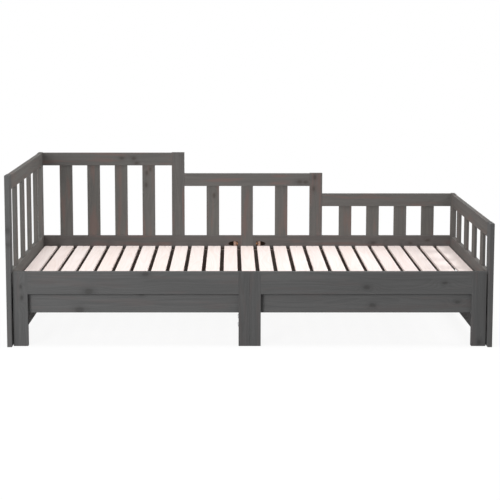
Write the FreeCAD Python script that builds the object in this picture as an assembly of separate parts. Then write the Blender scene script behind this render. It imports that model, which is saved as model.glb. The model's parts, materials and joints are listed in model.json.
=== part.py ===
import FreeCAD, Part
import math
import os

# Pull-out daybed of planed boards, in millimetres.
# X runs along the bed with the high end at -X, the front is towards -Y, the floor is Z = 0.

# Heights above the floor
HIGH_POST_TOP = 730.0
MIDDLE_POST_TOP = 628.0
LOW_POST_TOP = 528.0
LOWER_RAIL_TOP = 317.0
PULLOUT_TOP = 320.0
SLAT_TOP = 266.0

# Space between the end panels for a 2000 mattress, and the depth over the posts of an end panel
INNER_LENGTH = 2010.0
PANEL_DEPTH = 1002.0

# Board stock
FRAME_THICK = 20.0
POST_WIDTH = 62.0
CENTRE_POST_WIDTH = 58.0
TOP_RAIL_WIDTH = 62.0
DEEP_RAIL_WIDTH = 96.0
UPRIGHT_WIDTH = 62.0
UPRIGHT_THICK = 13.0
SLAT_WIDTH = 62.0
SLAT_THICK = 12.0
LEDGER_WIDTH = 30.0
BATTEN_WIDTH = 18.0
EDGE_EASE = 1.5
POST_STAND = 2.0

# Layout of the end panels and the back panel; a side gap is the one between a post and the next upright
END_UPRIGHTS = 4
END_SIDE_GAP = 109.5
BACK_POST_OFFSET = 339.0
OUTER_UPRIGHTS = 4
OUTER_SIDE_GAP = 83.25

# Slats
SLAT_COUNT = 25
SLAT_END_MARGIN = 6.0
SLAT_BACK_GAP = 2.0

# Pull-out frame
FACE_RECESS = 20.0
OUTER_LEG_WIDTH = 62.0
CENTRE_LEG_WIDTH = 47.0
STRETCHER_WIDTH = 62.0
STRETCHER_LIFT = 25.0
CROSSBAR_WIDTH = 110.0
NOTCH_DEPTH = 2.0

# Clearances between the fixed bed and the pull-out
PULLOUT_SIDE_GAP = 4.5
RUN_GAP = 2.0
SLIDE_PLAY = 0.3
STOP_GAP = 1.0
NOTCH_SIDE_GAP = 4.0

# Glued joints
TENON_LENGTH = 15.0
STUB_TENON_LENGTH = 10.0
TENON_CHEEK = 5.0
TENON_EDGE = 8.0
HOUSING_DEPTH = 8.0
JOINT_PLAY = 0.1
GLUE_SPACE = 1.0

# Countersunk wood screws
SCREW_DIAMETER = 4.0
SCREW_HEAD_DIAMETER = 8.0
SCREW_LENGTH = 28.0
SCREW_TIP = 4.0
SCREW_SLOT = 0.9
SCREW_SLOT_DEPTH = 1.3
LEDGER_SCREW_STEP = 3
REAR_LEG_SCREW_SPACING = 30.0

# Pocket screws beside the centre legs: one on each side, in a wide slanted bore
POCKET_ANGLE = 22.0
POCKET_DIAMETER = 25.0
POCKET_SETBACK = 20.0
POCKET_DROP = 40.0
POCKET_EXIT = 13.0
POCKET_SCREW_LENGTH = 30.0
POCKET_HEAD_DIAMETER = 11.0
POCKET_HEAD_HEIGHT = 3.5

# Connector bolts with flat heads, and their barrel nuts
BOLT_DIAMETER = 6.0
BOLT_LENGTH = 60.0
BOLT_HEAD_DIAMETER = 17.0
BOLT_HEAD_HEIGHT = 3.0
BOLT_SOCKET = 4.0
BOLT_SOCKET_DEPTH = 2.0
BOLT_END = 8.0
BOLT_EDGE_DISTANCE = 18.0
BARREL_DIAMETER = 10.0
BARREL_LENGTH = 14.0
CENTRE_BOLT_HEIGHTS = (92.0, 127.0)
BORE_PLAY = 0.1

# The axes as places in a point, and the directions that fasteners point in
X_AXIS, Y_AXIS, Z_AXIS = range(3)
RIGHT = FreeCAD.Vector(1, 0, 0)
BACKWARD = FreeCAD.Vector(0, 1, 0)
UP = FreeCAD.Vector(0, 0, 1)

# Places along X, from the middle of the bed
inner = INNER_LENGTH / 2
outer = inner + FRAME_THICK
pullout_half = inner - PULLOUT_SIDE_GAP
centre_half = CENTRE_POST_WIDTH / 2

# Places along Y, from the front of the posts to the back of the back panel
front = -PANEL_DEPTH / 2
back = PANEL_DEPTH / 2
post_inside = back - POST_WIDTH
pullout_face = front + FACE_RECESS
pullout_back = pullout_face + FRAME_THICK
beam_front = pullout_back + RUN_GAP
beam_back = beam_front + FRAME_THICK
batten_back = beam_back + FRAME_THICK
back_face = back - FRAME_THICK
slat_back = back_face - SLAT_BACK_GAP
ledger_front = back_face - FRAME_THICK
crossbar_back = ledger_front - RUN_GAP
crossbar_front = crossbar_back - FRAME_THICK
rear_leg_back = crossbar_back + FRAME_THICK

# Places along Z: the moving slats run just above the fixed batten, and their own batten above the beam
slat_under = SLAT_TOP - SLAT_THICK
ledger_under = slat_under - LEDGER_WIDTH
moving_under = slat_under + SLIDE_PLAY
moving_batten_under = moving_under - BATTEN_WIDTH
beam_top = moving_batten_under - SLIDE_PLAY
beam_under = beam_top - DEEP_RAIL_WIDTH
lower_rail_under = LOWER_RAIL_TOP - DEEP_RAIL_WIDTH
pullout_rail_under = PULLOUT_TOP - DEEP_RAIL_WIDTH
crossbar_under = moving_under - CROSSBAR_WIDTH
rear_leg_top = ledger_under - RUN_GAP
travel = crossbar_front - batten_back - STOP_GAP

parts = {}


def block(low, high):
    """A plain box between two corners."""
    size = [high[i] - low[i] for i in range(3)]
    return Part.makeBox(size[0], size[1], size[2], FreeCAD.Vector(*low))


def board(low, high, grain, free_low=False, free_high=False):
    """A planed board with eased edges along its grain, and round the ends that stay free."""
    solid = block(low, high)
    eased = []
    for edge in solid.Edges:
        first = edge.Vertexes[0].Point
        last = edge.Vertexes[1].Point
        along = abs(first[grain] - last[grain]) > EDGE_EASE
        at_low = free_low and max(first[grain], last[grain]) < low[grain] + EDGE_EASE
        at_high = free_high and min(first[grain], last[grain]) > high[grain] - EDGE_EASE
        if along or at_low or at_high:
            eased.append(edge)
    return solid.makeFillet(EDGE_EASE, eased)


def cut(name, tool):
    """Cuts a tool from a piece that is already made."""
    parts[name] = parts[name].cut(tool)


def tenon(low, high, grain, end, length, play=0.0):
    """The tongue on one end of a rail: thinner than the rail, and shorter than its width."""
    across = [axis for axis in range(3) if axis != grain]
    across.sort(key=lambda axis: high[axis] - low[axis])
    thin, wide = across
    corner = list(low)
    opposite = list(high)
    corner[thin] += TENON_CHEEK - play
    opposite[thin] -= TENON_CHEEK - play
    corner[wide] += TENON_EDGE - play
    opposite[wide] -= TENON_EDGE - play
    if end > 0:
        corner[grain] = high[grain]
        opposite[grain] = high[grain] + length
    else:
        opposite[grain] = low[grain]
        corner[grain] = low[grain] - length
    return block(corner, opposite)


def tenoned(name, low, high, grain, joins, length=TENON_LENGTH, free_low=False, free_high=False):
    """A board with a tenon at each joined end, let into the piece that is named for that end."""
    solid = board(low, high, grain, free_low, free_high)
    for end, neighbour in joins.items():
        solid = solid.fuse(tenon(low, high, grain, end, length))
        cut(neighbour, tenon(low, high, grain, end, length + GLUE_SPACE, JOINT_PLAY))
    parts[name] = solid.removeSplitter()


def upright(name, low, high, rail_below, rail_above):
    """A thin upright whose ends are housed in the rails above and below it."""
    foot = [low[0], low[1], low[2] - HOUSING_DEPTH]
    head = [high[0], high[1], high[2] + HOUSING_DEPTH]
    parts[name] = board(foot, head, Z_AXIS)
    for rail, bottom, top in (
        (rail_below, foot[2], low[2] + GLUE_SPACE),
        (rail_above, high[2] - GLUE_SPACE, head[2]),
    ):
        corner = [low[0] - JOINT_PLAY, low[1] - JOINT_PLAY, bottom]
        opposite = [high[0] + JOINT_PLAY, high[1] + JOINT_PLAY, top]
        cut(rail, block(corner, opposite))


def row_starts(low, high, count, side_gap):
    """Where each upright of a row starts: a set gap beside each post, and even gaps between them."""
    first = low + side_gap
    last = high - side_gap - UPRIGHT_WIDTH
    step = (last - first) / (count - 1)
    return [first + i * step for i in range(count)]


def middle_start(low, high):
    """Where a single upright starts that stands midway between two faces."""
    return (low + high - UPRIGHT_WIDTH) / 2


def turned(solid, point, direction):
    """A copy of a fastener that was drawn pointing up from the origin, put in its place."""
    copy = solid.copy()
    copy.Placement = FreeCAD.Placement(point, FreeCAD.Rotation(UP, direction))
    return copy


# End panels
def end_panel(side_name, side, post_top):
    """Two posts with a top rail and a deep lower rail between them, and a row of uprights."""
    x_low = min(side * inner, side * outer)
    x_high = max(side * inner, side * outer)
    rail_top = post_top - POST_STAND
    rail_under = rail_top - TOP_RAIL_WIDTH
    front_post = side_name + "_front_post"
    back_post = side_name + "_back_post"
    top_rail = side_name + "_top_rail"
    lower_rail = side_name + "_lower_rail"
    for post, start in ((front_post, front), (back_post, post_inside)):
        parts[post] = board(
            [x_low, start, 0], [x_high, start + POST_WIDTH, post_top], Z_AXIS, True, True
        )
    for rail, under, top in (
        (top_rail, rail_under, rail_top),
        (lower_rail, lower_rail_under, LOWER_RAIL_TOP),
    ):
        low = [x_low, -post_inside, under]
        high = [x_high, post_inside, top]
        tenoned(rail, low, high, Y_AXIS, {-1: front_post, 1: back_post})
    middle = (x_low + x_high) / 2
    starts = row_starts(-post_inside, post_inside, END_UPRIGHTS, END_SIDE_GAP)
    for number, start in enumerate(starts, 1):
        low = [middle - UPRIGHT_THICK / 2, start, LOWER_RAIL_TOP]
        high = [middle + UPRIGHT_THICK / 2, start + UPRIGHT_WIDTH, rail_under]
        upright(f"{side_name}_upright_{number}", low, high, lower_rail, top_rail)


end_panel("left", -1, HIGH_POST_TOP)
end_panel("right", 1, LOW_POST_TOP)

# Back panel: a lower rail in two halves, posts that step down, and three top rails
post_left = (-BACK_POST_OFFSET - POST_WIDTH / 2, -BACK_POST_OFFSET + POST_WIDTH / 2)
post_right = (BACK_POST_OFFSET - POST_WIDTH / 2, BACK_POST_OFFSET + POST_WIDTH / 2)
high_rail_top = HIGH_POST_TOP - POST_STAND
middle_rail_top = MIDDLE_POST_TOP - POST_STAND
low_rail_top = LOW_POST_TOP - POST_STAND

for half, x_low, x_high in (("left", -inner, -centre_half), ("right", centre_half, inner)):
    parts["back_lower_rail_" + half] = board(
        [x_low, back_face, lower_rail_under], [x_high, back, LOWER_RAIL_TOP], X_AXIS
    )

for post, span, top, rail in (
    ("back_tall_post", post_left, HIGH_POST_TOP, "back_lower_rail_left"),
    ("back_middle_post", post_right, MIDDLE_POST_TOP, "back_lower_rail_right"),
):
    low = [span[0], back_face, LOWER_RAIL_TOP]
    high = [span[1], back, top]
    tenoned(post, low, high, Z_AXIS, {-1: rail}, free_high=True)

for rail, x_low, x_high, top, joins in (
    ("back_top_rail_high", -inner, post_left[0], high_rail_top, {1: "back_tall_post"}),
    ("back_top_rail_middle", post_left[1], post_right[0], middle_rail_top,
     {-1: "back_tall_post", 1: "back_middle_post"}),
    ("back_top_rail_low", post_right[1], inner, low_rail_top, {-1: "back_middle_post"}),
):
    tenoned(rail, [x_low, back_face, top - TOP_RAIL_WIDTH], [x_high, back, top], X_AXIS, joins)

tenoned(
    "back_centre_leg",
    [-centre_half, back_face, 0],
    [centre_half, back, middle_rail_top - TOP_RAIL_WIDTH],
    Z_AXIS,
    {1: "back_top_rail_middle"},
    free_low=True,
)

# Uprights of the back panel, numbered from the high end
back_starts = []
for start in row_starts(-inner, post_left[0], OUTER_UPRIGHTS, OUTER_SIDE_GAP):
    back_starts.append((start, high_rail_top, "left", "high"))
back_starts.append((middle_start(post_left[1], -centre_half), middle_rail_top, "left", "middle"))
back_starts.append((middle_start(centre_half, post_right[0]), middle_rail_top, "right", "middle"))
for start in row_starts(post_right[1], inner, OUTER_UPRIGHTS, OUTER_SIDE_GAP):
    back_starts.append((start, low_rail_top, "right", "low"))

back_middle = (back_face + back) / 2
for number, (start, rail_top, half, section) in enumerate(back_starts, 1):
    low = [start, back_middle - UPRIGHT_THICK / 2, LOWER_RAIL_TOP]
    high = [start + UPRIGHT_WIDTH, back_middle + UPRIGHT_THICK / 2, rail_top - TOP_RAIL_WIDTH]
    upright(
        f"back_upright_{number}", low, high, "back_lower_rail_" + half, "back_top_rail_" + section
    )

# Fixed slat supports: a ledger on the back panel, and a batten behind the front beam
parts["back_slat_ledger"] = board(
    [-inner, ledger_front, ledger_under], [inner, back_face, slat_under], X_AXIS
)
parts["front_slat_batten"] = board(
    [-inner, beam_back, ledger_under], [inner, batten_back, slat_under], X_AXIS
)
for half, x_low, x_high in (("left", -inner, -centre_half), ("right", centre_half, inner)):
    parts["front_beam_" + half] = board(
        [x_low, beam_front, beam_under], [x_high, beam_back, beam_top], X_AXIS
    )
parts["front_beam_leg"] = board(
    [-centre_half, beam_front, 0], [centre_half, beam_back, beam_top], Z_AXIS, True
)

# Pull-out frame: two half frames bolted together at the centre legs
outer_leg_inside = pullout_half - OUTER_LEG_WIDTH
for leg, x_low, x_high in (
    ("pullout_left_leg", -pullout_half, -outer_leg_inside),
    ("pullout_centre_leg_left", -CENTRE_LEG_WIDTH, 0),
    ("pullout_centre_leg_right", 0, CENTRE_LEG_WIDTH),
    ("pullout_right_leg", outer_leg_inside, pullout_half),
):
    parts[leg] = board(
        [x_low, pullout_face, 0], [x_high, pullout_back, PULLOUT_TOP], Z_AXIS, True, True
    )
for rail, x_low, x_high, joins in (
    ("pullout_rail_left", -outer_leg_inside, -CENTRE_LEG_WIDTH,
     {-1: "pullout_left_leg", 1: "pullout_centre_leg_left"}),
    ("pullout_rail_right", CENTRE_LEG_WIDTH, outer_leg_inside,
     {-1: "pullout_centre_leg_right", 1: "pullout_right_leg"}),
):
    low = [x_low, pullout_face, pullout_rail_under]
    high = [x_high, pullout_back, PULLOUT_TOP]
    tenoned(rail, low, high, X_AXIS, joins)

moving_batten_back = pullout_back + FRAME_THICK
moving_battens = [
    board([x_low, pullout_back, moving_batten_under], [x_high, moving_batten_back, moving_under], X_AXIS)
    for x_low, x_high in ((-pullout_half, 0), (0, pullout_half))
]

# Back of the pull-out: a crossbar on three legs, with a low stretcher to each front corner
rear_leg_centres = (-pullout_half + OUTER_LEG_WIDTH / 2, 0, pullout_half - OUTER_LEG_WIDTH / 2)
for name, centre in zip(("left", "centre", "right"), rear_leg_centres):
    parts["pullout_rear_leg_" + name] = board(
        [centre - OUTER_LEG_WIDTH / 2, crossbar_back, 0],
        [centre + OUTER_LEG_WIDTH / 2, rear_leg_back, rear_leg_top],
        Z_AXIS, True, True,
    )
for name, x_low in (("left", -pullout_half), ("right", pullout_half - FRAME_THICK)):
    low = [x_low, pullout_back, STRETCHER_LIFT]
    high = [x_low + FRAME_THICK, crossbar_back, STRETCHER_LIFT + STRETCHER_WIDTH]
    joins = {-1: f"pullout_{name}_leg", 1: "pullout_rear_leg_" + name}
    tenoned("pullout_stretcher_" + name, low, high, Y_AXIS, joins, STUB_TENON_LENGTH)
parts["pullout_crossbar"] = board(
    [-pullout_half, crossbar_front, crossbar_under], [pullout_half, crossbar_back, moving_under], X_AXIS
)

# Slats: every other one belongs to the pull-out
slat_row = inner - SLAT_END_MARGIN - SLAT_WIDTH / 2
slat_pitch = 2 * slat_row / (SLAT_COUNT - 1)
slat_centres = [-slat_row + i * slat_pitch for i in range(SLAT_COUNT)]
fixed_centres = slat_centres[0::2]
moving_centres = slat_centres[1::2]


def slat(centre, start, under):
    """One slat from its front end to the gap before the back panel."""
    low = [centre - SLAT_WIDTH / 2, start, under]
    high = [centre + SLAT_WIDTH / 2, slat_back, under + SLAT_THICK]
    return board(low, high, Y_AXIS)


fixed_slats = [slat(centre, beam_back, slat_under) for centre in fixed_centres]
moving_slats = [slat(centre, pullout_back, moving_under) for centre in moving_centres]
for centre in fixed_centres:
    reach = SLAT_WIDTH / 2 + NOTCH_SIDE_GAP
    low = [centre - reach, crossbar_front, moving_under - NOTCH_DEPTH]
    high = [centre + reach, crossbar_back, moving_under]
    cut("pullout_crossbar", block(low, high))


# Wood screws, drawn pointing up from the middle of the head's flat face
def screw_solid():
    """A countersunk screw with a cross recess and a pointed tip."""
    radius = SCREW_DIAMETER / 2
    head_radius = SCREW_HEAD_DIAMETER / 2
    head = head_radius - radius
    shank = SCREW_LENGTH - head - SCREW_TIP
    solid = Part.makeCone(head_radius, radius, head)
    solid = solid.fuse(Part.makeCylinder(radius, shank, UP * head))
    solid = solid.fuse(Part.makeCone(radius, 0, SCREW_TIP, UP * (head + shank)))
    solid = solid.removeSplitter()
    for length, width in ((SCREW_DIAMETER, SCREW_SLOT), (SCREW_SLOT, SCREW_DIAMETER)):
        corner = FreeCAD.Vector(-length / 2, -width / 2, 0)
        solid = solid.cut(Part.makeBox(length, width, SCREW_SLOT_DEPTH, corner))
    return solid


def screw_hole():
    """The countersunk hole that a wood screw goes into."""
    radius = SCREW_DIAMETER / 2 + BORE_PLAY
    head_radius = SCREW_HEAD_DIAMETER / 2 + BORE_PLAY
    hole = Part.makeCone(head_radius, radius, head_radius - radius)
    return hole.fuse(Part.makeCylinder(radius, SCREW_LENGTH + BORE_PLAY))


SCREW = screw_solid()
SCREW_HOLE = screw_hole()
bed_screws = []
pullout_screws = []


def drive(screws, point, direction, solids):
    """Adds a wood screw, and returns the solids with its hole cut in them."""
    screws.append(turned(SCREW, point, direction))
    hole = turned(SCREW_HOLE, point, direction)
    return [solid.cut(hole) for solid in solids]


fixed_seats = (
    ("front_slat_batten", (beam_back + batten_back) / 2),
    ("back_slat_ledger", (ledger_front + back_face) / 2),
)
for i, centre in enumerate(fixed_centres):
    for seat, y in fixed_seats:
        point = FreeCAD.Vector(centre, y, SLAT_TOP)
        fixed_slats[i], parts[seat] = drive(bed_screws, point, -UP, [fixed_slats[i], parts[seat]])

moving_top = moving_under + SLAT_THICK
crossbar_middle = (crossbar_front + crossbar_back) / 2
for i, centre in enumerate(moving_centres):
    half = 0 if centre < 0 else 1
    point = FreeCAD.Vector(centre, (pullout_back + moving_batten_back) / 2, moving_top)
    moving_slats[i], moving_battens[half] = drive(
        pullout_screws, point, -UP, [moving_slats[i], moving_battens[half]]
    )
    point = FreeCAD.Vector(centre, crossbar_middle, moving_top)
    moving_slats[i], parts["pullout_crossbar"] = drive(
        pullout_screws, point, -UP, [moving_slats[i], parts["pullout_crossbar"]]
    )

# Screws that hold the ledger and the battens stand in the gaps between slats
batten_screw_height = (ledger_under + beam_top) / 2
moving_batten_middle = (moving_batten_under + moving_under) / 2
ledger_middle = (ledger_under + slat_under) / 2
for left_slat in slat_centres[1:-1:int(LEDGER_SCREW_STEP)]:
    x = left_slat + slat_pitch / 2
    half = "left" if x < 0 else "right"
    back_rail = "back_lower_rail_" + half
    beam = "front_beam_" + half
    rail = "pullout_rail_" + half
    point = FreeCAD.Vector(x, ledger_front, ledger_middle)
    parts["back_slat_ledger"], parts[back_rail] = drive(
        bed_screws, point, BACKWARD, [parts["back_slat_ledger"], parts[back_rail]]
    )
    point = FreeCAD.Vector(x, batten_back, batten_screw_height)
    parts["front_slat_batten"], parts[beam] = drive(
        bed_screws, point, -BACKWARD, [parts["front_slat_batten"], parts[beam]]
    )
    side = 0 if x < 0 else 1
    point = FreeCAD.Vector(x, moving_batten_back, moving_batten_middle)
    moving_battens[side], parts[rail] = drive(
        pullout_screws, point, -BACKWARD, [moving_battens[side], parts[rail]]
    )

rear_screw_height = (crossbar_under + rear_leg_top) / 2
for name, centre in zip(("left", "centre", "right"), rear_leg_centres):
    leg = "pullout_rear_leg_" + name
    for offset in (-REAR_LEG_SCREW_SPACING / 2, REAR_LEG_SCREW_SPACING / 2):
        point = FreeCAD.Vector(centre + offset, rear_leg_back, rear_screw_height)
        parts[leg], parts["pullout_crossbar"] = drive(
            pullout_screws, point, -BACKWARD, [parts[leg], parts["pullout_crossbar"]]
        )


# Pocket screws: slanted through the end of a rail half into the centre leg
def pocket_screw_solid():
    """A pan-head screw, drawn pointing up with its head's under face at the origin."""
    radius = SCREW_DIAMETER / 2
    shank = POCKET_SCREW_LENGTH - SCREW_TIP
    solid = Part.makeCylinder(POCKET_HEAD_DIAMETER / 2, POCKET_HEAD_HEIGHT, UP * -POCKET_HEAD_HEIGHT)
    solid = solid.fuse(Part.makeCylinder(radius, shank))
    solid = solid.fuse(Part.makeCone(radius, 0, SCREW_TIP, UP * shank))
    slot = Part.makeBox(
        SCREW_DIAMETER, SCREW_DIAMETER, SCREW_SLOT_DEPTH,
        FreeCAD.Vector(-SCREW_DIAMETER / 2, -SCREW_DIAMETER / 2, -POCKET_HEAD_HEIGHT),
    )
    return solid.removeSplitter().cut(slot)


POCKET_SCREW = pocket_screw_solid()
POCKET_PILOT = Part.makeCylinder(SCREW_DIAMETER / 2 + BORE_PLAY, POCKET_SCREW_LENGTH + BORE_PLAY)
POCKET_SLOPE = math.radians(POCKET_ANGLE)
POCKET_LENGTH = POCKET_DIAMETER / math.sin(POCKET_SLOPE)
POCKET_MOUTH = Part.makeCylinder(POCKET_DIAMETER / 2, POCKET_LENGTH, UP * -POCKET_LENGTH)
pocket_screws = []


def pocket_joint(rail, leg, side, face, inward, rail_top):
    """A pocket screw from the face of a rail half, on one side of a leg, through its end into that leg."""
    direction = FreeCAD.Vector(-side * math.cos(POCKET_SLOPE), inward * math.sin(POCKET_SLOPE), 0)
    end = FreeCAD.Vector(side * centre_half, face + inward * POCKET_EXIT, rail_top - POCKET_DROP)
    seat = end - direction * POCKET_SETBACK
    pocket_screws.append(turned(POCKET_SCREW, seat, direction))
    pilot = turned(POCKET_PILOT, seat, direction)
    cut(rail, pilot.fuse(turned(POCKET_MOUTH, seat, direction)))
    cut(leg, pilot)


for half, side in (("left", -1), ("right", 1)):
    pocket_joint("back_lower_rail_" + half, "back_centre_leg", side, back_face, 1, LOWER_RAIL_TOP)
    pocket_joint("front_beam_" + half, "front_beam_leg", side, beam_back, -1, beam_top)


# Connector bolts, drawn pointing up with the head's under face at the origin
def bolt_solid():
    """A flat-headed connector bolt with a hexagon socket."""
    head = Part.makeCylinder(BOLT_HEAD_DIAMETER / 2, BOLT_HEAD_HEIGHT, UP * -BOLT_HEAD_HEIGHT)
    rim = [edge for edge in head.Edges if abs(edge.CenterOfMass.z + BOLT_HEAD_HEIGHT) < EDGE_EASE / 2]
    head = head.makeChamfer(BOLT_HEAD_HEIGHT / 3, [edge for edge in rim if edge.Closed])
    corners = [
        FreeCAD.Vector(math.cos(math.pi / 3 * i), math.sin(math.pi / 3 * i), 0) * (BOLT_SOCKET / math.sqrt(3))
        for i in range(7)
    ]
    socket = Part.Face(Part.makePolygon(corners)).extrude(UP * BOLT_SOCKET_DEPTH)
    socket.translate(UP * -BOLT_HEAD_HEIGHT)
    return head.fuse(Part.makeCylinder(BOLT_DIAMETER / 2, BOLT_LENGTH)).removeSplitter().cut(socket)


BOLT = bolt_solid()
BOLT_HOLE = Part.makeCylinder(BOLT_DIAMETER / 2 + BORE_PLAY, BOLT_LENGTH + BORE_PLAY)
HEAD_RECESS = Part.makeCylinder(BOLT_HEAD_DIAMETER / 2 + BORE_PLAY, BOLT_HEAD_HEIGHT, UP * -BOLT_HEAD_HEIGHT)


def barrel_nut(centre):
    """A barrel nut lying along Y, with the bolt's hole across it."""
    solid = Part.makeCylinder(
        BARREL_DIAMETER / 2, BARREL_LENGTH, centre - BACKWARD * (BARREL_LENGTH / 2), BACKWARD
    )
    reach = BARREL_DIAMETER
    hole = Part.makeCylinder(BOLT_DIAMETER / 2 + BORE_PLAY, 2 * reach, centre - RIGHT * reach, RIGHT)
    return solid.cut(hole)


def barrel_bore(centre):
    """The bore for a barrel nut, open at the back of its board."""
    radius = BARREL_DIAMETER / 2 + BORE_PLAY
    return Part.makeCylinder(
        radius, BARREL_LENGTH + FRAME_THICK, centre - BACKWARD * (BARREL_LENGTH / 2), BACKWARD
    )


panel_bolts = []
barrel_nuts = []


def bolted(post, rail, side, middle, under, top):
    """Two bolts from outside a post into the end of a rail, with their heads let in flush."""
    for z in (under + BOLT_EDGE_DISTANCE, top - BOLT_EDGE_DISTANCE):
        seat = FreeCAD.Vector(side * (outer - BOLT_HEAD_HEIGHT), middle, z)
        direction = RIGHT * -side
        nut = seat + direction * (BOLT_LENGTH - BOLT_END)
        panel_bolts.append(turned(BOLT, seat, direction))
        barrel_nuts.append(barrel_nut(nut))
        hole = turned(BOLT_HOLE, seat, direction)
        cut(post, hole.fuse(turned(HEAD_RECESS, seat, direction)))
        cut(rail, hole.fuse(barrel_bore(nut)))


bolted("left_back_post", "back_top_rail_high", -1, back_middle, high_rail_top - TOP_RAIL_WIDTH, high_rail_top)
bolted("right_back_post", "back_top_rail_low", 1, back_middle, low_rail_top - TOP_RAIL_WIDTH, low_rail_top)
for half, side in (("left", -1), ("right", 1)):
    bolted(half + "_back_post", "back_lower_rail_" + half, side, back_middle, lower_rail_under, LOWER_RAIL_TOP)
    bolted(
        half + "_front_post", "front_beam_" + half, side, (beam_front + beam_back) / 2, beam_under, beam_top
    )

centre_bolts = []
centre_nuts = []
pullout_middle = (pullout_face + pullout_back) / 2
for height in CENTRE_BOLT_HEIGHTS:
    seat = FreeCAD.Vector(-CENTRE_LEG_WIDTH, pullout_middle, height)
    nut = seat + RIGHT * (BOLT_LENGTH - BOLT_END)
    centre_bolts.append(turned(BOLT, seat, RIGHT))
    centre_nuts.append(barrel_nut(nut))
    hole = turned(BOLT_HOLE, seat, RIGHT)
    cut("pullout_centre_leg_left", hole)
    cut("pullout_centre_leg_right", hole.fuse(barrel_bore(nut)))

# Identical loose pieces share a node, as a group of separate solids
groups = {
    "fixed_slats": fixed_slats,
    "moving_slats": moving_slats,
    "pullout_slat_battens": moving_battens,
    "bed_wood_screws": bed_screws,
    "pullout_wood_screws": pullout_screws,
    "pocket_screws": pocket_screws,
    "panel_bolts": panel_bolts,
    "barrel_nuts": barrel_nuts,
    "centre_leg_bolts": centre_bolts + centre_nuts,
}
for name, solids in groups.items():
    parts[name] = Part.makeCompound(solids)

os.makedirs("parts", exist_ok=True)
for name, shape in parts.items():
    shape.exportStep("parts/" + name + ".step")
    print(name, "solids", len(shape.Solids), "valid", shape.isValid(), "cm3", round(shape.Volume / 1000, 1))
print("nodes", len(parts), "travel", round(travel, 2), "slat pitch", round(slat_pitch, 3))
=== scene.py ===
# %% [markdown]
# # A pull-out daybed in grey-stained pine
# This lesson dresses a finished CAD model of a daybed. The boards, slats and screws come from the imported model
# and keep their shape and place, so the work here is the camera, the light and above all the wood: each board
# gets its own piece of pine, with grain that runs along it.

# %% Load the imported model
import json
import math

import bpy
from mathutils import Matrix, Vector


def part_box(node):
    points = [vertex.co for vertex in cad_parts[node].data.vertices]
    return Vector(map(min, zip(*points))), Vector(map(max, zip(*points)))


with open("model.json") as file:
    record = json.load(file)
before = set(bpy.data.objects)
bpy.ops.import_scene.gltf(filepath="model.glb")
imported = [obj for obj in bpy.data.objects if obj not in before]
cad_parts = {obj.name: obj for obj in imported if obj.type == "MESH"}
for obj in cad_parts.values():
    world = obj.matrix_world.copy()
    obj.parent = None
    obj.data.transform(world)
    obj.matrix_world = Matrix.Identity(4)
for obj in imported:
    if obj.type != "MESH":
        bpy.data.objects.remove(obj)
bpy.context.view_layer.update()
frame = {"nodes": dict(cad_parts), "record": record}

# %% [markdown]
# ## The camera
# The bed is seen straight from the front, from a little above the top of the high end, through a long lens.
# The eye stands left of the middle, so the lens is shifted sideways instead of turned: the front stays square.
# Part of the downward look is a lens shift too, which keeps the posts almost upright, and the rest is a tilt.

# %% Camera
LOOK_DOWN = 6.4213
camera_data = bpy.data.cameras.new("front_camera")
camera_data.lens = 94.835
camera_data.sensor_width = 36.0
camera_data.shift_x = 0.03771
camera_data.shift_y = -0.16
camera_data.clip_end = 60.0
camera = bpy.data.objects.new("front_camera", camera_data)
camera.location = (-0.0783, -5.95, 1.3673)
camera.rotation_euler = (math.radians(90 - LOOK_DOWN), 0, 0)
bpy.context.scene.collection.objects.link(camera)
bpy.context.scene.camera = camera
bpy.context.scene.view_settings.view_transform = "Standard"
print("camera at", tuple(camera.location), "lens", camera_data.lens)

# %% [markdown]
# ## Small helpers for node trees
# A material is a tree of nodes, and a long tree is easier to read when each node is one short line. These
# helpers add a node, fill its inputs with numbers or with the output of another node, and hand back its output.


# %% Node helpers
def fill(tree, socket, value):
    """Sets an input to a value, or links it to another node's output."""
    if isinstance(value, bpy.types.NodeSocket):
        tree.links.new(value, socket)
    else:
        socket.default_value = value


def number(tree, operation, *values, clamp=False):
    """A Math node."""
    node = tree.nodes.new("ShaderNodeMath")
    node.operation = operation
    node.use_clamp = clamp
    for socket, value in zip(node.inputs, values):
        fill(tree, socket, value)
    return node.outputs[0]


def arrow(tree, operation, *values):
    """A Vector Math node that gives a vector."""
    node = tree.nodes.new("ShaderNodeVectorMath")
    node.operation = operation
    for socket, value in zip(node.inputs, values):
        fill(tree, socket, value)
    return node.outputs["Vector"]


def split(tree, vector):
    """The three parts of a vector."""
    node = tree.nodes.new("ShaderNodeSeparateXYZ")
    fill(tree, node.inputs[0], vector)
    return list(node.outputs)


def join(tree, x, y, z):
    """A vector from three parts."""
    node = tree.nodes.new("ShaderNodeCombineXYZ")
    for socket, value in zip(node.inputs, (x, y, z)):
        fill(tree, socket, value)
    return node.outputs[0]


def length(tree, vector):
    """The length of a vector."""
    node = tree.nodes.new("ShaderNodeVectorMath")
    node.operation = "LENGTH"
    fill(tree, node.inputs[0], vector)
    return node.outputs["Value"]


def noise(tree, vector, stretch, detail=2.0, roughness=0.5, distortion=0.0):
    """Noise between 0 and 1, with its own number of grains per metre along each direction."""
    node = tree.nodes.new("ShaderNodeTexNoise")
    fill(tree, node.inputs["Vector"], arrow(tree, "MULTIPLY", vector, stretch))
    node.inputs["Scale"].default_value = 1.0
    node.inputs["Detail"].default_value = detail
    node.inputs["Roughness"].default_value = roughness
    node.inputs["Distortion"].default_value = distortion
    return node.outputs[0]


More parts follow.
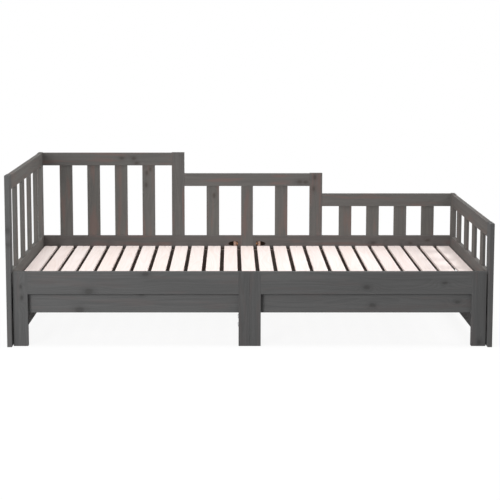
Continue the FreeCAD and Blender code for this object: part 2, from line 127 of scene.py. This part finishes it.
def ramp(tree, value, low, high, to_low=0.0, to_high=1.0, smooth=True):
    """Maps a range of a value to another range, and holds it at the ends."""
    node = tree.nodes.new("ShaderNodeMapRange")
    node.interpolation_type = "SMOOTHSTEP" if smooth else "LINEAR"
    for name, amount in (("Value", value), ("From Min", low), ("From Max", high),
                         ("To Min", to_low), ("To Max", to_high)):
        fill(tree, node.inputs[name], amount)
    return node.outputs[0]


def tint(tree, factor, first, second, blend="MIX"):
    """Mixes two colours."""
    node = tree.nodes.new("ShaderNodeMix")
    node.data_type = "RGBA"
    node.blend_type = blend
    fill(tree, node.inputs["Factor"], factor)
    fill(tree, node.inputs[6], first)
    fill(tree, node.inputs[7], second)
    return node.outputs[2]


def group_tree(name, inputs, outputs):
    """An empty shader node group with named sockets."""
    tree = bpy.data.node_groups.new(name, "ShaderNodeTree")
    for label, kind in inputs:
        tree.interface.new_socket(name=label, in_out="INPUT", socket_type="NodeSocket" + kind)
    for label, kind in outputs:
        tree.interface.new_socket(name=label, in_out="OUTPUT", socket_type="NodeSocket" + kind)
    start = tree.nodes.new("NodeGroupInput")
    end = tree.nodes.new("NodeGroupOutput")
    return tree, start.outputs, end.inputs


def place(tree, group, **values):
    """Puts a node group in a tree; an underscore in a keyword stands for a space in the socket's name."""
    node = tree.nodes.new("ShaderNodeGroup")
    node.node_tree = group
    for label, value in values.items():
        fill(tree, node.inputs[label.replace("_", " ")], value)
    return node.outputs


print("node helpers ready")

# %% [markdown]
# ## Knots
# A knot is the foot of a branch, cut across. The year rings swell round it, and its heart is dark and hard.
# This group measures the distance to one knot on the face of a board, and puts out the dark heart, a soft halo
# and the push that it gives the rings. The knot's place and radius come in as one vector: along, across, radius.


# %% Knot group
KNOT_STRETCH = 0.62
KNOT_RAGGED = 0.5
PUSH_ALONG = 0.045
PUSH_ACROSS = 0.016
PUSH_SHARE = 1.6
knot_group, knot_in, knot_out = group_tree(
    "knot", [("Board", "Vector"), ("Knot", "Vector")], [("Heart", "Float"), ("Halo", "Float"), ("Push", "Float")]
)
along, across, _ = split(knot_group, knot_in["Board"])
knot_along, knot_across, knot_radius = split(knot_group, knot_in["Knot"])
to_along = number(knot_group, "SUBTRACT", along, knot_along)
to_across = number(knot_group, "SUBTRACT", across, knot_across)
oval = join(knot_group, number(knot_group, "MULTIPLY", to_along, KNOT_STRETCH), to_across, 0.0)
ragged = number(knot_group, "SUBTRACT", noise(knot_group, knot_in["Board"], (90, 90, 90), 3.0), 0.5)
radius = number(knot_group, "DIVIDE", length(knot_group, oval), knot_radius)
radius = number(knot_group, "ADD", radius, number(knot_group, "MULTIPLY", ragged, KNOT_RAGGED))
fill(knot_group, knot_out["Heart"], ramp(knot_group, radius, 1.3, 0.4))
fill(knot_group, knot_out["Halo"], ramp(knot_group, radius, 2.6, 0.9))
stretched = number(knot_group, "POWER", number(knot_group, "DIVIDE", to_along, PUSH_ALONG), 2.0)
narrow = number(knot_group, "POWER", number(knot_group, "DIVIDE", to_across, PUSH_ACROSS), 2.0)
away = number(knot_group, "MULTIPLY", number(knot_group, "ADD", stretched, narrow), -1.0)
most = number(knot_group, "MULTIPLY", knot_radius, PUSH_SHARE)
fill(knot_group, knot_out["Push"], number(knot_group, "MULTIPLY", number(knot_group, "EXPONENT", away), most))
print("knot group:", len(knot_group.nodes), "nodes")

# %% [markdown]
# ## Pine grain
# A board is sawn from a log, so its figure is a slice through year rings. The rings are circles round the heart
# of the log, which lies some way under the face and wanders a little along the length. Cutting such wandering
# rings with a flat face gives the long tongues of flat-sawn pine by itself, with no drawing. Fine fibres and
# broad streaks, both stretched along the board, lie over the rings.


# %% Pine grain group
HEART_SWAY = 0.03
RING_WANDER = 0.012
grain_group, grain_in, grain_out = group_tree(
    "pine_grain",
    [("Board", "Vector"), ("Log", "Vector"), ("Pith", "Vector"), ("Ring Width", "Float"),
     ("Knot A", "Vector"), ("Knot B", "Vector"), ("Knot C", "Vector")],
    [("Rings", "Float"), ("Fibre", "Float"), ("Streak", "Float"), ("Flush", "Float"), ("Heart", "Float"),
     ("Halo", "Float")],
)
board = grain_in["Board"]
own = arrow(grain_group, "ADD", board, grain_in["Log"])
knots = [place(grain_group, knot_group, Board=board, Knot=grain_in["Knot " + letter]) for letter in "ABC"]


def of_three(operation, label):
    """Joins one output of the three knots."""
    pair = number(grain_group, operation, knots[0][label], knots[1][label])
    return number(grain_group, operation, pair, knots[2][label])


wander = noise(grain_group, own, (0.9, 3.0, 3.0), 2.0)
sway = noise(grain_group, own, (2.2, 0.2, 0.2), 1.0)
_, across, through = split(grain_group, arrow(grain_group, "SUBTRACT", board, grain_in["Pith"]))
sway = ramp(grain_group, sway, 0.2, 0.8, -HEART_SWAY, HEART_SWAY, False)
from_pith = number(grain_group, "ADD", across, sway)
square = number(
    grain_group, "ADD", number(grain_group, "POWER", from_pith, 2.0), number(grain_group, "POWER", through, 2.0)
)
year = number(grain_group, "SQRT", square)
wander = ramp(grain_group, wander, 0.2, 0.8, -RING_WANDER, RING_WANDER, False)
year = number(grain_group, "ADD", year, wander)
year = number(grain_group, "ADD", year, of_three("ADD", "Push"))
turn = number(grain_group, "FRACT", number(grain_group, "DIVIDE", year, grain_in["Ring Width"]))
late = number(grain_group, "MULTIPLY", ramp(grain_group, turn, 0.3, 0.9), ramp(grain_group, turn, 1.0, 0.92))
fill(grain_group, grain_out["Rings"], late)
fill(grain_group, grain_out["Fibre"], noise(grain_group, own, (16, 520, 520), 3.0, 0.6))
fill(grain_group, grain_out["Streak"], noise(grain_group, own, (2.6, 75, 75), 3.0, 0.55, 0.3))
fill(grain_group, grain_out["Flush"], noise(grain_group, own, (4.5, 34, 34), 2.0))
fill(grain_group, grain_out["Heart"], of_three("MAXIMUM", "Heart"))
fill(grain_group, grain_out["Halo"], of_three("MAXIMUM", "Halo"))
print("pine grain group:", len(grain_group.nodes), "nodes")

# %% [markdown]
# ## Eased edges
# Sanding rounds the long edges of each board, and stain wears thin there, so edges look a little paler. On a
# box the distance to the nearest edge is the middle one of the three distances to its faces. That needs only
# the box's middle and half sizes, so the paler line has a width in real millimetres at any number of polygons.


# %% Eased edge group
edge_group, edge_in, edge_out = group_tree(
    "eased_edge",
    [("Board", "Vector"), ("Middle", "Vector"), ("Half", "Vector"), ("Width", "Float"), ("Log", "Vector")],
    [("Edge", "Float")],
)
inside = arrow(edge_group, "ABSOLUTE", arrow(edge_group, "SUBTRACT", edge_in["Board"], edge_in["Middle"]))
a, b, c = split(edge_group, arrow(edge_group, "SUBTRACT", inside, edge_in["Half"]))
lesser = number(edge_group, "MINIMUM", a, b)
greater = number(edge_group, "MINIMUM", number(edge_group, "MAXIMUM", a, b), c)
nearest = number(edge_group, "MULTIPLY", number(edge_group, "MAXIMUM", lesser, greater), -1.0)
worn = noise(edge_group, arrow(edge_group, "ADD", edge_in["Board"], edge_in["Log"]), (22, 22, 22), 3.0)
reach = number(edge_group, "MULTIPLY", edge_in["Width"], ramp(edge_group, worn, 0.25, 0.75, 0.5, 1.6, False))
fill(edge_group, edge_out["Edge"], ramp(edge_group, nearest, reach, 0.0))
print("eased edge group:", len(edge_group.nodes), "nodes")

# %% [markdown]
# ## End grain
# The cut end of a board is a bundle of open pores: it drinks more stain and turns darker. A face is an end where
# its normal points along the grain, so this group only needs the normal in the board's own directions.

# %% End grain group
end_group, end_in, end_out = group_tree("end_grain", [("Facing", "Vector")], [("End", "Float")])
along, _, _ = split(end_group, end_in["Facing"])
fill(end_group, end_out["End"], ramp(end_group, number(end_group, "ABSOLUTE", along), 0.7, 0.95))
print("end grain group:", len(end_group.nodes), "nodes")

# %% [markdown]
# ## The grey stain
# The stain is thin and grey: the rings and streaks of the pine still show through it, knots stay darker, and the
# eased edges come out paler. All boards are stained alike and differ only in their grey and in how much of the
# reddish pine shows, so the layers of colour are a group too, and every layer is a shade of the board's own grey.

# %% Grey stain group
WOOD = ("Rings", "Fibre", "Streak", "Flush", "Heart", "Halo")
stain_group, stain_in, stain_out = group_tree(
    "grey_stain",
    [("Grey", "Color"), ("Warmth", "Float")] + [(label, "Float") for label in WOOD + ("Edge", "End")],
    [("Color", "Color"), ("Roughness", "Float"), ("Height", "Float")],
)


def toned(red, green, blue):
    """A lighter, darker or warmer form of the board's grey."""
    return arrow(stain_group, "MULTIPLY", stain_in["Grey"], (red, green, blue))


def share(label, amount):
    """A part of one of the stain's inputs."""
    return number(stain_group, "MULTIPLY", stain_in[label], amount)


layer = tint(stain_group, ramp(stain_group, stain_in["Streak"], 0.28, 0.72),
             toned(0.935, 0.935, 0.935), toned(1.08, 1.08, 1.08))
layer = tint(stain_group, ramp(stain_group, stain_in["Fibre"], 0.4, 0.75, 0.0, 0.3), layer, toned(0.78, 0.78, 0.78))
layer = tint(stain_group, share("Rings", 0.24), layer, toned(0.66, 0.66, 0.66))
layer = tint(stain_group, ramp(stain_group, stain_in["Flush"], 0.5, 0.68, 0.0, stain_in["Warmth"]),
             layer, toned(1.17, 0.95, 0.92))
resin = tint(stain_group, stain_in["Warmth"], toned(0.5, 0.5, 0.5), toned(0.5, 0.43, 0.41))
layer = tint(stain_group, share("Halo", 0.22), layer, resin)
layer = tint(stain_group, share("Heart", 0.55), layer, resin)
layer = tint(stain_group, share("Edge", 0.3), layer, toned(1.45, 1.45, 1.45))
layer = tint(stain_group, share("End", 0.45), layer, toned(0.62, 0.62, 0.62))
fill(stain_group, stain_out["Color"], layer)
rough = ramp(stain_group, stain_in["Fibre"], 0.2, 0.8, 0.58, 0.74, False)
fill(stain_group, stain_out["Roughness"], number(stain_group, "SUBTRACT", rough, share("Edge", 0.08)))
height = number(stain_group, "ADD", share("Rings", 0.5), stain_in["Fibre"])
fill(stain_group, stain_out["Height"], number(stain_group, "SUBTRACT", height, share("Heart", 0.4)))
print("grey stain group:", len(stain_group.nodes), "nodes")

# %% [markdown]
# ## Bored pockets
# Beside the centre leg, each lower rail has a slanted pocket with a screw in it. It was bored after staining, which
# left the flat bottom under the screw's head as bare pale pine with a browned rim. The wall of the pocket is
# painted
# almost black: painted shade deep in the hole. The inside of a pocket is whatever lies within a small box that
# starts just behind the face of the board. Four boards have one, so this is a group as well, and each board gives
# it its own box.

# %% Bored pocket group
# The wall's near black is painted shade deep in the pocket; the bottom and rim are the bored wood's own colour.
POCKET_WALL_SHADE = (0.020, 0.014, 0.011, 1)
POCKET_BOTTOM = (0.62, 0.44, 0.36, 1)
POCKET_RIM = (0.17, 0.10, 0.075, 1)
SKIN = 0.0012
POCKET_ENDS = (0.040, 0.104)
RAIL_FACES, RAIL_HEIGHTS = (0.481, 0.4995), (0.262, 0.292)
BEAM_FACES, BEAM_HEIGHTS = (-0.4575, -0.439), (0.181, 0.211)
pocket_group, pocket_in, pocket_out = group_tree(
    "bored_pocket",
    [("Point", "Vector"), ("Facing", "Vector"), ("Low", "Vector"), ("High", "Vector")],
    [("Inside", "Float"), ("Bottom", "Float"), ("Rim", "Float")],
)
point = split(pocket_group, pocket_in["Point"])
inside = 1.0
for value, least, most in zip(point, split(pocket_group, pocket_in["Low"]), split(pocket_group, pocket_in["High"])):
    inside = number(pocket_group, "MULTIPLY", inside, number(pocket_group, "GREATER_THAN", value, least))
    inside = number(pocket_group, "MULTIPLY", inside, number(pocket_group, "LESS_THAN", value, most))
from_leg = number(pocket_group, "ABSOLUTE", point[0])
flat = number(pocket_group, "ABSOLUTE", split(pocket_group, pocket_in["Facing"])[0])
deep = ramp(pocket_group, from_leg, 0.068, 0.063)
bottom = number(pocket_group, "MAXIMUM", ramp(pocket_group, flat, 0.75, 0.85), deep)
fill(pocket_group, pocket_out["Inside"], inside)
fill(pocket_group, pocket_out["Bottom"], bottom)
fill(pocket_group, pocket_out["Rim"], ramp(pocket_group, from_leg, 0.055, 0.051))
POCKETS = {}
for half, side in (("left", -1), ("right", 1)):
    x_low, x_high = sorted(side * end for end in POCKET_ENDS)
    POCKETS["back_lower_rail_" + half] = (
        (x_low, RAIL_FACES[0] + SKIN, RAIL_HEIGHTS[0]), (x_high, RAIL_FACES[1], RAIL_HEIGHTS[1])
    )
    POCKETS["front_beam_" + half] = (
        (x_low, BEAM_FACES[0], BEAM_HEIGHTS[0]), (x_high, BEAM_FACES[1] - SKIN, BEAM_HEIGHTS[1])
    )
print("pockets in", sorted(POCKETS))

# %% [markdown]
# ## Grey-stained pine, board by board
# Every board has its own slice of the log, its own tone and the direction that its grain runs in, so each one gets
# its own material from one function, which places the groups and gives them the board's own values. The stain
# dries dead matt: a specular level of almost nothing keeps the white studio from lying on the top edges as a sheen.


# %% Board directions
NO_KNOT = (9.0, 9.0, 0.001)


def board_axes(name):
    """X, Y and Z in the order of a board's own directions: along the grain, across it, and through it."""
    low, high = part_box(name)
    size = high - low
    return sorted(range(3), key=lambda i: -size[i])


def laid(tree, vector, axes):
    """Turns a vector into the board's own directions."""
    parts = split(tree, vector)
    return join(tree, *[parts[i] for i in axes])


def own_number(name):
    """A steady number for each board, from the letters of its name."""
    return sum((i + 1) * ord(letter) for i, letter in enumerate(name))


def new_material(name):
    """A material with an empty Principled shader."""
    material = bpy.data.materials.new(name)
    material.use_nodes = True
    return material, material.node_tree, material.node_tree.nodes["Principled BSDF"]


def dress(name, material):
    """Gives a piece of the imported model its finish."""
    mesh = frame["nodes"][name].data
    mesh.materials.clear()
    mesh.materials.append(material)


def bump(tree, shader, height, strength, distance):
    """Gives a shader a relief of some strength, from a height that changes over the surface."""
    node = tree.nodes.new("ShaderNodeBump")
    node.inputs["Strength"].default_value = strength
    node.inputs["Distance"].default_value = distance
    fill(tree, node.inputs["Height"], height)
    fill(tree, shader.inputs["Normal"], node.outputs["Normal"])


print("the high back rail runs along axis", "XYZ"[board_axes("back_top_rail_high")[0]])


# %% Stained pine
STAINED_RINGS = 0.0042
WORN_EDGE = 0.0025
MATT_STAIN = 0.002


def stained_pine(name, grey, warmth, knots):
    """Grey-stained pine for one board."""
    material, tree, shader = new_material("stained_pine_" + name)
    axes = board_axes(name)
    low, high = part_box(name)
    middle = [(low[i] + high[i]) / 2 for i in axes]
    half = [(high[i] - low[i]) / 2 for i in axes]
    lot = own_number(name)
    log = ((lot % 97) * 0.37, (lot % 61) * 0.53, (lot % 43) * 0.71)
    pith = (0.0, (lot % 7 - 3) * 0.012, -0.03 - (lot % 5) * 0.012)
    coords = tree.nodes.new("ShaderNodeTexCoord").outputs
    board = laid(tree, coords["Object"], axes)
    near = arrow(tree, "SUBTRACT", board, (0.0, middle[1], middle[2]))
    knots = [(k[0], k[1] - middle[1], k[2]) for k in knots] + [NO_KNOT] * 3
    wood = place(tree, grain_group, Board=near, Log=log, Pith=pith, Ring_Width=STAINED_RINGS,
                 Knot_A=knots[0], Knot_B=knots[1], Knot_C=knots[2])
    edge = place(tree, edge_group, Board=board, Middle=middle, Half=half, Width=WORN_EDGE, Log=log)["Edge"]
    end = place(tree, end_group, Facing=laid(tree, coords["Normal"], axes))["End"]
    stain = place(tree, stain_group, Grey=grey, Warmth=warmth, Edge=edge, End=end,
                  **{label: wood[label] for label in WOOD})
    color = stain["Color"]
    if name in POCKETS:
        low, high = POCKETS[name]
        pocket = place(tree, pocket_group, Point=coords["Object"], Facing=coords["Normal"], Low=low, High=high)
        # The pocket's wall is painted near black as shade, and its bottom is bare pine.
        shaded_wall_and_bare_bottom = tint(tree, pocket["Bottom"], POCKET_WALL_SHADE, POCKET_BOTTOM)
        color = tint(tree, pocket["Inside"], color, tint(tree, pocket["Rim"], shaded_wall_and_bare_bottom, POCKET_RIM))
    fill(tree, shader.inputs["Base Color"], color)
    fill(tree, shader.inputs["Roughness"], stain["Roughness"])
    shader.inputs["Specular IOR Level"].default_value = MATT_STAIN
    bump(tree, shader, stain["Height"], 0.25, 0.0006)
    return material


print("stained pine is a function of a board's name, grey, warmth and knots")

# %% [markdown]
# ## Which board gets which knots
# A maker picks boards by eye, and a knot is what one remembers of a board. Each knot is written as its place along
# the board, its place across it and its radius, in metres of the model. A board has three at most here. The front
# boards are a cool grey and the boards of the back and the ends a warmer one, with a trace of red in the grain.
# Some greys are painted light as well: boards that stand in shade are made lighter than the rest, namely the
# recessed beam, the end panels seen on their inner faces, the recessed back uprights, the stretchers under the bed,
# and the battens and crossbar under the slats, which are browner too. The ledger at the back, only seen through the
# gaps, is almost black: painted shade.

# %% Knots and tones
KNOTS = {
    "pullout_rail_left": [(-0.680, 0.236, 0.013), (-0.440, 0.311, 0.010)],
    "pullout_rail_right": [(0.494, 0.254, 0.010), (0.824, 0.272, 0.007)],
    "front_beam_left": [(-0.722, 0.152, 0.013), (-0.458, 0.221, 0.009)],
    "front_beam_right": [(0.522, 0.172, 0.010), (0.882, 0.186, 0.008)],
    "pullout_left_leg": [(0.208, -0.963, 0.007), (0.256, -0.967, 0.006)],
    "pullout_right_leg": [(0.017, 0.972, 0.008)],
    "left_front_post": [(0.498, -0.496, 0.009), (0.438, -0.496, 0.007)],
    "left_back_post": [(0.496, 0.462, 0.009), (0.437, 0.460, 0.008)],
    "left_upright_3": [(0.400, 0.060, 0.007)],
    "back_top_rail_high": [(-0.615, 0.702, 0.008), (-0.556, 0.701, 0.008), (-0.542, 0.678, 0.007)],
    "back_top_rail_middle": [(0.259, 0.585, 0.009), (0.288, 0.583, 0.008)],
    "back_upright_4": [(0.629, -0.493, 0.007), (0.646, -0.476, 0.006), (0.570, -0.497, 0.008)],
    "back_upright_5": [(0.517, -0.162, 0.008)],
    "back_middle_post": [(0.607, 0.333, 0.008), (0.550, 0.328, 0.008)],
    "back_lower_rail_right": [(0.623, 0.281, 0.009), (0.808, 0.279, 0.007), (0.892, 0.294, 0.007)],
}
# The battens and the crossbar get a lighter, browner grey than the boards: painted light on the deep shade under
# the slats.
BATTEN_TONE_PAINTED_LIGHT = ((0.158, 0.129, 0.115), 0.25)
TONES_WITH_PAINTED_LIGHT = {
    "pullout_": ((0.127, 0.127, 0.127), 0.25),
    "pullout_centre": ((0.115, 0.115, 0.115), 0.25),
    # Lighter than the other pull-out boards: painted light on the stretchers in the shade under the bed.
    "pullout_stretcher": ((0.145, 0.145, 0.145), 0.25),
    "pullout_crossbar": BATTEN_TONE_PAINTED_LIGHT,
    "pullout_slat": BATTEN_TONE_PAINTED_LIGHT,
    # The recessed beam is lighter than the rails in front of it: painted light on its shade.
    "front_": ((0.141, 0.141, 0.141), 0.25),
    "front_slat": BATTEN_TONE_PAINTED_LIGHT,
    # The left end is seen on its inner faces, which get less light; its lighter grey is painted light.
    "left_": ((0.148, 0.144, 0.137), 0.5),
    "left_front": ((0.128, 0.128, 0.128), 0.25),
    # The right end is seen on its inner faces too, and its lighter grey is painted light as well.
    "right_": ((0.137, 0.130, 0.124), 0.5),
    "right_front": ((0.126, 0.125, 0.125), 0.25),
    "back_": ((0.132, 0.128, 0.123), 1.0),
    # The back uprights sit recessed behind the rails, and their lighter grey is painted light on that shade.
    "back_upright": ((0.142, 0.138, 0.131), 1.0),
    "back_top": ((0.141, 0.137, 0.131), 1.0),
    "back_lower": ((0.126, 0.118, 0.114), 0.8),
    # The ledger is nearly black: painted shade in the gaps between the slats.
    "back_slat": ((0.036, 0.029, 0.025), 0.25),
}


def tone_of(name):
    """The tone of a board: the longest start of its name that the list has."""
    return TONES_WITH_PAINTED_LIGHT[max((start for start in TONES_WITH_PAINTED_LIGHT if name.startswith(start)), key=len)]


boards = [part["node"] for part in frame["record"]["subparts"] if part["material_slot"] == "stained_pine"]
for name in boards:
    grey, warmth = tone_of(name)
    own_tone = 1 + 0.008 * (own_number(name) % 7 - 3)
    grey = [own_tone * value for value in grey] + [1]
    dress(name, stained_pine(name, grey, warmth, KNOTS.get(name, [])))
print("stained boards:", len(boards), "with knots on", len(KNOTS))

# %% [markdown]
# ## Bare pine slats
# The slats are left without stain: planed pine, almost white and slightly pink, with thin brownish year lines.
# All slats of one body share a mesh, and both rows share one material: the place of a slat in the row is worked
# out from X, and gives each one its own slice of the log and its own tone.


# %% Bare pine
fixed_low, fixed_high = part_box("fixed_slats")
SLAT_COUNT = 25
SLAT_WIDTH = 0.062
SLAT_PITCH = ((fixed_high.x - fixed_low.x) - SLAT_WIDTH) / (SLAT_COUNT - 1)
SLAT_RINGS = 0.0046
SLAT_EDGE = 0.002
FIRST_SLAT = fixed_low.x + SLAT_WIDTH / 2
slat_half = (fixed_high.z - fixed_low.z) / 2
bare_pine, tree, shader = new_material("bare_pine")
coords = tree.nodes.new("ShaderNodeTexCoord").outputs
x, y, z = split(tree, coords["Object"])
place_in_row = number(tree, "DIVIDE", number(tree, "SUBTRACT", x, FIRST_SLAT), SLAT_PITCH)
slat = number(tree, "ROUND", place_in_row)
from_middle = number(tree, "MULTIPLY", number(tree, "SUBTRACT", place_in_row, slat), SLAT_PITCH)
board = join(tree, y, from_middle, number(tree, "SUBTRACT", z, fixed_low.z + slat_half))
log = join(tree, number(tree, "MULTIPLY", slat, 3.71), number(tree, "MULTIPLY", slat, 1.93), 0.7)
wood = place(tree, grain_group, Board=board, Log=log, Pith=(0.0, 0.008, -0.05), Ring_Width=SLAT_RINGS,
             Knot_A=NO_KNOT, Knot_B=NO_KNOT, Knot_C=NO_KNOT)
edge = place(tree, edge_group, Board=board, Middle=(0, 0, 0), Half=(10.0, SLAT_WIDTH / 2, slat_half),
             Width=SLAT_EDGE, Log=log)["Edge"]
end = place(tree, end_group, Facing=laid(tree, coords["Normal"], (1, 0, 2)))["End"]
lot = tree.nodes.new("ShaderNodeTexWhiteNoise")
lot.noise_dimensions = "1D"
fill(tree, lot.inputs["W"], slat)

# %% Colours of the bare pine
ROSY_PINE = (0.92, 0.805, 0.768, 1)
PALE_PINE = (0.945, 0.853, 0.825, 1)
PINE_STREAK = (0.885, 0.75, 0.69, 1)
PINE_RING = (0.70, 0.53, 0.44, 1)
PINE_FIBRE = (0.7, 0.58, 0.49, 1)
PINE_END = (0.56, 0.43, 0.32, 1)
PLANED_GLOSS = 0.04
color = tint(tree, lot.outputs["Value"], ROSY_PINE, PALE_PINE)
color = tint(tree, ramp(tree, wood["Streak"], 0.4, 0.75, 0.0, 0.4), color, PINE_STREAK)
color = tint(tree, number(tree, "MULTIPLY", wood["Rings"], 0.14), color, PINE_RING)
color = tint(tree, ramp(tree, wood["Fibre"], 0.45, 0.8, 0.0, 0.15), color, PINE_FIBRE)
color = tint(tree, number(tree, "MULTIPLY", end, 0.4), color, PINE_END)
fill(tree, shader.inputs["Base Color"], color)
fill(tree, shader.inputs["Roughness"], ramp(tree, wood["Fibre"], 0.2, 0.8, 0.55, 0.7, False))
shader.inputs["Specular IOR Level"].default_value = PLANED_GLOSS
height = number(tree, "ADD", number(tree, "MULTIPLY", wood["Rings"], 0.5), wood["Fibre"])
bump(tree, shader, number(tree, "SUBTRACT", height, edge), 0.2, 0.0005)
for name in ("fixed_slats", "moving_slats"):
    dress(name, bare_pine)
print("slat pitch", round(SLAT_PITCH * 1000, 2), "mm")

# %% [markdown]
# ## Screws, bolts and nuts
# The fasteners are plated steel. Plating is thin and a little uneven: the colour is steady, but the gloss
# changes in small clouds and in fine scratches, so the metal gets its life from roughness and a weak bump.


# %% Plating group
plating_group, plating_in, plating_out = group_tree(
    "plating", [("Point", "Vector")], [("Cloud", "Float"), ("Scratch", "Float")]
)
cloud = noise(plating_group, plating_in["Point"], (420, 420, 420), 3.0)
fill(plating_group, plating_out["Cloud"], ramp(plating_group, cloud, 0.3, 0.7))
fill(plating_group, plating_out["Scratch"], noise(plating_group, plating_in["Point"], (300, 2600, 2600), 2.0))
print("plating group:", len(plating_group.nodes), "nodes")


# %% Plated steel
def plated_steel(name, color, dull, rough):
    """A plated fastener with cloudy gloss."""
    material, tree, shader = new_material(name)
    plating = place(tree, plating_group, Point=tree.nodes.new("ShaderNodeTexCoord").outputs["Object"])
    fill(tree, shader.inputs["Base Color"], tint(tree, plating["Cloud"], dull, color))
    fill(tree, shader.inputs["Roughness"], ramp(tree, plating["Cloud"], 0.0, 1.0, rough - 0.08, rough + 0.1, False))
    shader.inputs["Metallic"].default_value = 1.0
    bump(tree, shader, plating["Scratch"], 0.15, 0.0002)
    return material


plated = {
    "zinc_steel": plated_steel("zinc_plated_steel", (0.62, 0.62, 0.64, 1), (0.46, 0.46, 0.48, 1), 0.35),
    "copper_screw": plated_steel("coppery_plated_steel", (0.66, 0.36, 0.20, 1), (0.46, 0.24, 0.13, 1), 0.38),
}
fasteners = [part for part in frame["record"]["subparts"] if part["material_slot"] in plated]
for part in fasteners:
    dress(part["node"], plated[part["material_slot"]])
print("plated fasteners:", [part["node"] for part in fasteners])

# %% [markdown]
# ## The floor
# The bed stands on a pale studio floor that runs out to white. A white floor under studio lamps easily comes out
# brighter than white, and then it bleeds over the thin uprights in front of it. So the eye, reflections and glass
# see a floor that shines by itself almost up to white and takes only the rest from the lamps: that rest still
# shows the bed's soft shadow. All other light meets a plain grey floor, so little of it bounces up.


# %% Floor
def is_seen(tree):
    """1 for what the camera, a reflection or glass sees, and 0 for all other light."""
    light_path = tree.nodes.new("ShaderNodeLightPath")
    seen = number(tree, "MAXIMUM", light_path.outputs["Is Camera Ray"], light_path.outputs["Is Glossy Ray"])
    return number(tree, "MAXIMUM", seen, light_path.outputs["Is Transmission Ray"])


FLOOR_HALF = 30.0
FLOOR_GREY = 0.4
FLOOR_MOTTLE = 0.02
FLOOR_SHADOW = 0.10
SHADOW_ENDS = (1.4, 3.2)
floor_mesh = bpy.data.meshes.new("studio_floor")
corners = [(x * FLOOR_HALF, y * FLOOR_HALF, 0) for x, y in ((-1, -1), (1, -1), (1, 1), (-1, 1))]
floor_mesh.from_pydata(corners, [], [(0, 1, 2, 3)])
floor = bpy.data.objects.new("studio_floor", floor_mesh)
floor.location.z = -0.0005
bpy.context.scene.collection.objects.link(floor)
floor_material, tree, shader = new_material("studio_floor")
seen = is_seen(tree)
where = tree.nodes.new("ShaderNodeTexCoord").outputs["Object"]
speck = noise(tree, where, (3, 3, 3), 3.0)
plain = tint(tree, speck, *[(FLOOR_GREY + change,) * 3 + (1,) for change in (-FLOOR_MOTTLE, FLOOR_MOTTLE)])
takes = ramp(tree, length(tree, where), *SHADOW_ENDS, FLOOR_SHADOW, 0.0)
fill(tree, shader.inputs["Base Color"], tint(tree, seen, plain, join(tree, takes, takes, takes)))
shader.inputs["Roughness"].default_value = 0.9
shader.inputs["Specular IOR Level"].default_value = 0.0
shader.inputs["Emission Color"].default_value = (1, 1, 1, 1)
glow = number(tree, "SUBTRACT", 1.0, takes)
fill(tree, shader.inputs["Emission Strength"], number(tree, "MULTIPLY", seen, glow))
floor_mesh.materials.append(floor_material)
print("the floor takes", FLOOR_SHADOW, "of its white from the lamps near the bed")

# %% [markdown]
# ## The light
# An even white sky fills all shadows. A wide lamp overhead lights the slats, and one high on the right reaches into
# the gaps and lights their sides. A lower lamp in front on the left lights the front boards and lets their legs
# throw a soft shadow to the right: its light falls with the square of the distance, so the right end comes out a
# little darker. Two more stand low at the left and behind the bed, for the outside of the high end and the back.

# %% Sky and lamps
SKY_LIGHT = 0.3
world = bpy.data.worlds.new("studio_sky")
bpy.context.scene.world = world
world.use_nodes = True
sky = world.node_tree.nodes["Background"]
sky.inputs["Color"].default_value = (1, 1, 1, 1)
extra = number(world.node_tree, "MULTIPLY", is_seen(world.node_tree), 1.0 - SKY_LIGHT)
fill(world.node_tree, sky.inputs["Strength"], number(world.node_tree, "ADD", extra, SKY_LIGHT))


def soft_lamp(name, place_at, aim, size, power):
    """A large square lamp that looks at a point and is not seen itself."""
    data = bpy.data.lights.new(name, "AREA")
    data.shape = "SQUARE"
    data.size = size
    data.energy = power
    lamp = bpy.data.objects.new(name, data)
    lamp.location = place_at
    lamp.rotation_euler = (Vector(aim) - Vector(place_at)).to_track_quat("-Z", "Y").to_euler()
    lamp.visible_camera = False
    bpy.context.scene.collection.objects.link(lamp)
    return lamp


lamps = [
    soft_lamp("overhead_lamp", (-1.0, -0.7, 6.2), (-0.2, 0.0, 0.3), 1.8, 178),
    soft_lamp("front_left_lamp", (-2.7, -4.5, 1.6), (0.0, -0.2, 0.3), 1.8, 140),
    soft_lamp("right_lamp", (5.4, -0.2, 4.6), (0.0, 0.0, 0.3), 3.2, 210),
    soft_lamp("left_lamp", (-5.5, 0.4, 0.9), (-1.0, 0.0, 0.4), 2.0, 80),
    soft_lamp("back_lamp", (1.5, 4.8, 0.9), (0.0, 0.5, 0.4), 2.4, 150),
]
print("lamps:", [(lamp.name, lamp.data.energy) for lamp in lamps])
